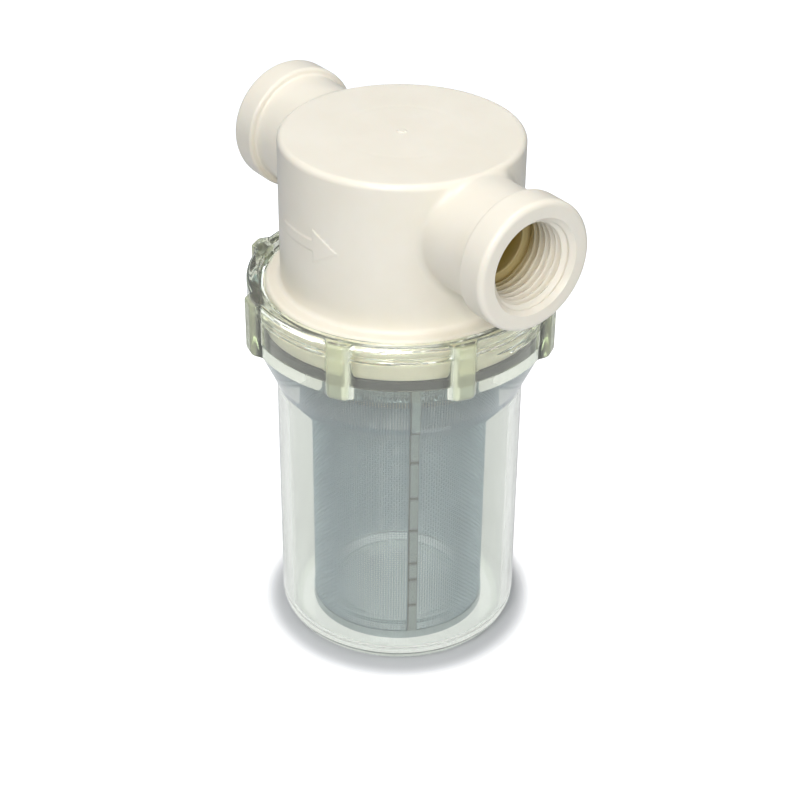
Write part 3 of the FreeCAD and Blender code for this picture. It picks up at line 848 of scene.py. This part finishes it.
def painted_sleeve_shade(tree, place):
    """Painted shade: the sleeve's colour darkens towards its top, where the head shades it."""
    height = add(tree, "SeparateXYZ", Vector=place).outputs["Z"]
    return eased(tree, height, 0.064, 0.080, high=0.8)


def welds_and_lip_shade(tree, place):
    """The dark marks of the spot welds, and painted shade along the strip's lips."""
    return add(tree, "Attribute", {"attribute_name": "weld_marks_and_lip_shade"}).outputs["Fac"]


# Painted shade: the wire's colour turns to the darker 86949E towards the sleeve's top.
wire_steel = stainless("drawn_stainless_wire", "ABB9C2", "C6D2D9", 0.46, 60.0, painted_sleeve_shade, "86949E")
strip_steel = stainless("rolled_stainless_strip", "9CA6AA", "B6BFC2", 0.36, 400.0)
# The strip's colour darkens to 5A5650 at the spot welds and, as painted shade, along its lips.
seam_steel = stainless("spot_welded_stainless_strip", "8D9594", "A1A9A7", 0.42, 400.0, welds_and_lip_shade,
                       "5A5650")
for piece in sleeve:
    dress(piece, wire_steel)
for name in ("screen_band_lower", "screen_band_upper"):
    dress(nodes[name], strip_steel)
dress(seam, seam_steel)

# %% [markdown]
# ## The studio
#
# A white floor runs back out of sight under a white world. The lamps stay at a plain
# level, so that cream renders as cream; the white behind comes from the floor's and the
# world's own answer to the camera, the glossy and the transmitted rays. Round the bowl's
# foot that glow is painted down into a contact shadow.

# %% Floor and world


def ray_kinds(tree):
    """Three switches: seen by the camera, seen in gloss or glass, and lighting behind glass.

    A ray that comes out of glass lights something if it met a surface before, and else it
    is one that looks through.
    """
    path = tree.nodes.new("ShaderNodeLightPath").outputs
    met = maths(tree, "ADD", path["Diffuse Depth"], path["Glossy Depth"])
    once = maths(tree, "MINIMUM", met, 1.0)
    lighting = maths(tree, "MULTIPLY", path["Is Transmission Ray"], once)
    shiny = maths(tree, "MAXIMUM", path["Is Glossy Ray"], path["Is Transmission Ray"])
    looking = maths(tree, "SUBTRACT", shiny, lighting, clamp=True)
    return path["Is Camera Ray"], looking, lighting


FLOOR_REACH = 3000.0
floor_points = FLOOR_REACH * np.array([[-1, -1, 0], [1, -1, 0], [1, 1, 0], [-1, 1, 0]])
floor = make_mesh("studio_floor", floor_points, np.array([[0, 1, 2, 3]]))
paper, tree, output, place = finish_named("white_paper_sweep")
away = distance(tree, place)
far = eased(tree, away, 0.11, 0.42)
# Painted shade: the floor's colour darkens from D6D7DA to the blue-grey 66798A between 0.11 and
# 0.42 m out, a dark surround that shows in glass and gloss.
matt = add(tree, "BsdfDiffuse", Color=ramp(tree, far, (0, colour("D6D7DA")), (1, colour("66798A"))))
# Painted shadow: the floor's glow to the camera is nothing at the bowl's foot and full by 39 mm
# out, a contact shadow painted round the foot.
outside_painted_shadow = eased(tree, away, 0.0302, 0.0390)
# Painted light: seen in glass or gloss, the floor glows an extra 0.24 out to 0.11 m, fading by 0.42
# m, and 0.20 more under the bowl.
painted_glow_near_bowl = add(tree, "MapRange", Value=far, To_Min=0.24, To_Max=0.0).outputs["Result"]
under = eased(tree, away, 0.045, 0.026, high=0.20)
by_camera, looking, lighting = ray_kinds(tree)
seen_through = maths(tree, "ADD", painted_glow_near_bowl, under)
lift = weighed(tree, by_camera, outside_painted_shadow,
               weighed(tree, looking, seen_through, maths(tree, "MULTIPLY", lighting, 0.35)))
glow = add(tree, "Emission", Color=colour("FFFFFF"), Strength=lift)
both = tree.nodes.new("ShaderNodeAddShader")
tree.links.new(matt.outputs[0], both.inputs[0])
tree.links.new(glow.outputs[0], both.inputs[1])
tree.links.new(both.outputs[0], output.inputs["Surface"])
dress(floor, paper)

world = bpy.data.worlds.new("white_studio")
bpy.context.scene.world = world
world.use_nodes = True
tree = world.node_tree
tree.nodes.clear()
output = tree.nodes.new("ShaderNodeOutputWorld")
direction = tree.nodes.new("ShaderNodeTexCoord").outputs["Generated"]
height = add(tree, "SeparateXYZ", Vector=direction).outputs["Z"]
dusk = ramp(tree, height, (0.02, (0.17, 0.23, 0.28, 1)), (0.85, (1.0, 1.0, 1.0, 1)),
            (0.35, (0.50, 0.55, 0.58, 1)))
by_camera, looking, lighting = ray_kinds(tree)
tone = mixed(tree, maths(tree, "ADD", looking, lighting), colour("FFFFFF"), dusk)
strength = weighed(tree, maths(tree, "ADD", by_camera, looking), 0.60,
                   weighed(tree, lighting, 2.7, 0.40))
sky = add(tree, "Background", Color=tone, Strength=strength)
tree.links.new(sky.outputs[0], output.inputs["Surface"])

# %% Lamps


def softbox(name, place, aim, size, watts):
    """A square area lamp at `place`, turned to face `aim`, both in millimetres."""
    lamp = bpy.data.lights.new(name, "AREA")
    lamp.size, lamp.energy = size * MM, watts
    stand = bpy.data.objects.new(name, lamp)
    stand.location = Vector(place) * MM
    stand.rotation_mode = "QUATERNION"
    stand.rotation_quaternion = (Vector(place) - Vector(aim)).to_track_quat("Z", "Y")
    bpy.context.scene.collection.objects.link(stand)


softbox("overhead", (0, -40, 900), (0, 0, 100), 260, 1.9)
softbox("key", (450, -540, 680), (0, 0, 100), 350, 3.9)
softbox("side_fill", (850, -100, 260), (0, 0, 100), 500, 1.7)

# %% Camera
azimuth, elevation, roll = (math.radians(angle) for angle in (53.0, 32.5, 0.58))
stand_off, aim_right, aim_up = 458.9, 0.17, 59.8
back = Vector((math.sin(azimuth) * math.cos(elevation), -math.cos(azimuth) * math.cos(elevation),
               math.sin(elevation)))
right = Vector((math.cos(azimuth), math.sin(azimuth), 0))
target = right * aim_right + Vector((0, 0, aim_up))
lens = bpy.data.cameras.new("camera")
lens.sensor_width, lens.lens = 36.0, 83.421
lens.clip_start, lens.clip_end = 0.01, 20.0
camera = bpy.data.objects.new("camera", lens)
camera.location = (target + back * stand_off) * MM
camera.rotation_mode = "QUATERNION"
camera.rotation_quaternion = back.to_track_quat("Z", "Y") @ Quaternion((0, 0, 1), roll)
bpy.context.scene.collection.objects.link(camera)
bpy.context.scene.camera = camera
bpy.context.scene.view_settings.view_transform = "Standard"
